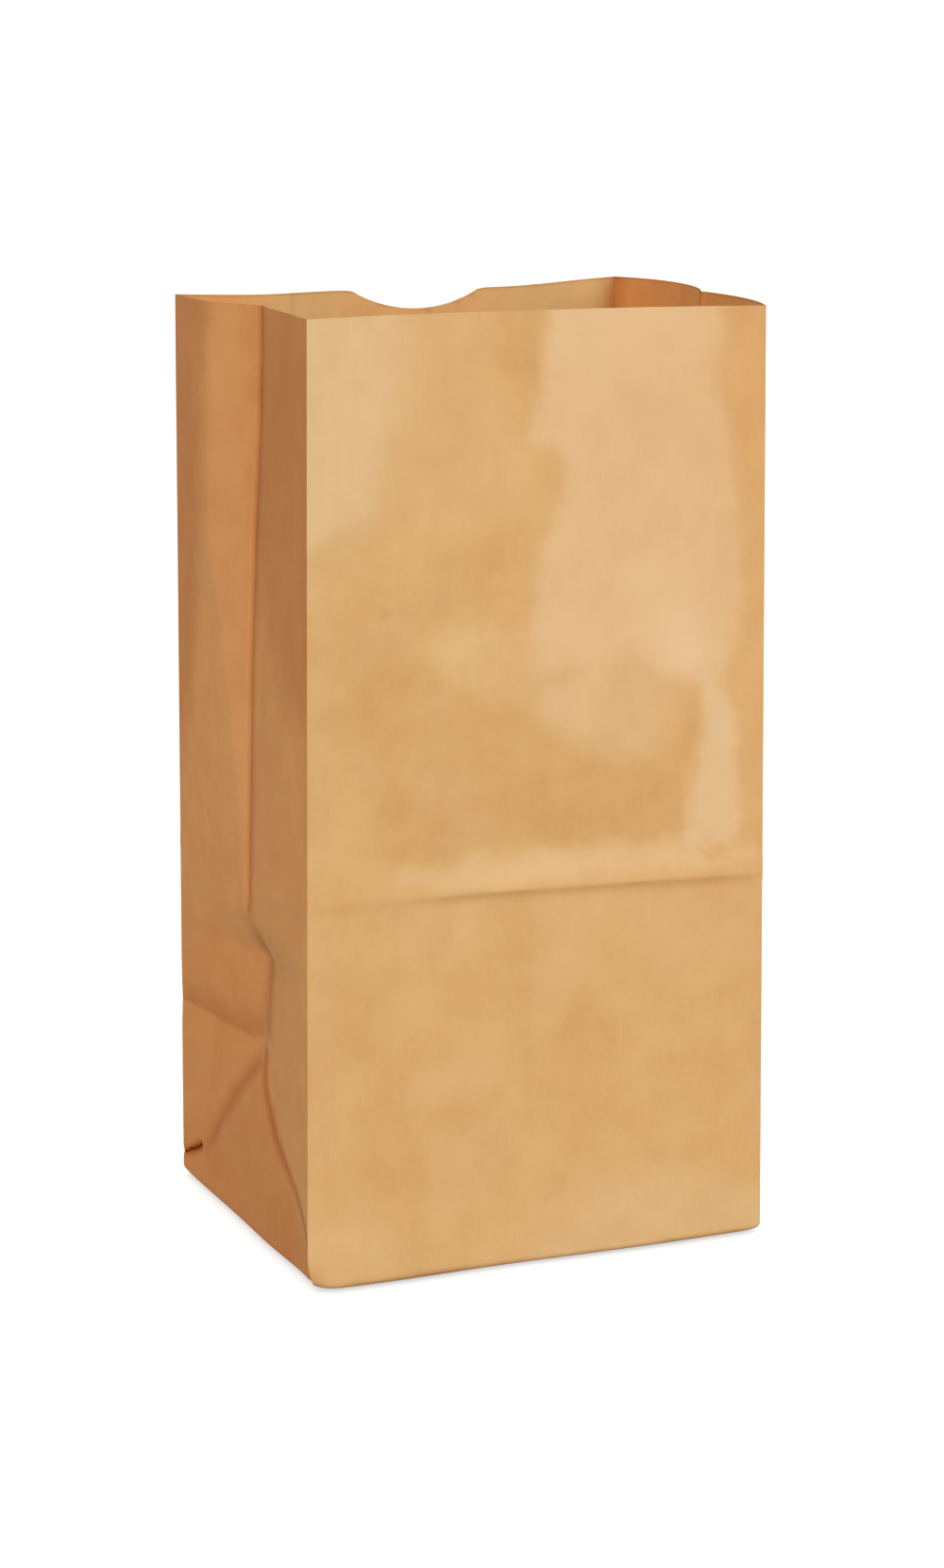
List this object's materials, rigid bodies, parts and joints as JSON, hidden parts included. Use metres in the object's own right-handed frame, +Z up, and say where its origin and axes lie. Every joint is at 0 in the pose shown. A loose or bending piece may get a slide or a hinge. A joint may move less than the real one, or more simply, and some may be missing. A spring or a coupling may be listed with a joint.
{
  "type": "paper lunch bag",
  "caption": "Brown kraft paper lunch bag standing open, with a square folded bottom, gusseted sides and a thumb notch in the back rim.",
  "frame": {"origin": "middle of the bag's box in plan, on the surface that the bag stands on", "axes": "+X along the front panel to the right, +Y to the back panel, which has the thumb notch, +Z up along the bag's height"},
  "size_m": [0.1412, 0.1004, 0.249],
  "materials": {
    "kraft_paper": "matt brown kraft paper"
  },
  "bodies": {
    "root": {"bag": "kraft_paper"}
  },
  "joints": []
}
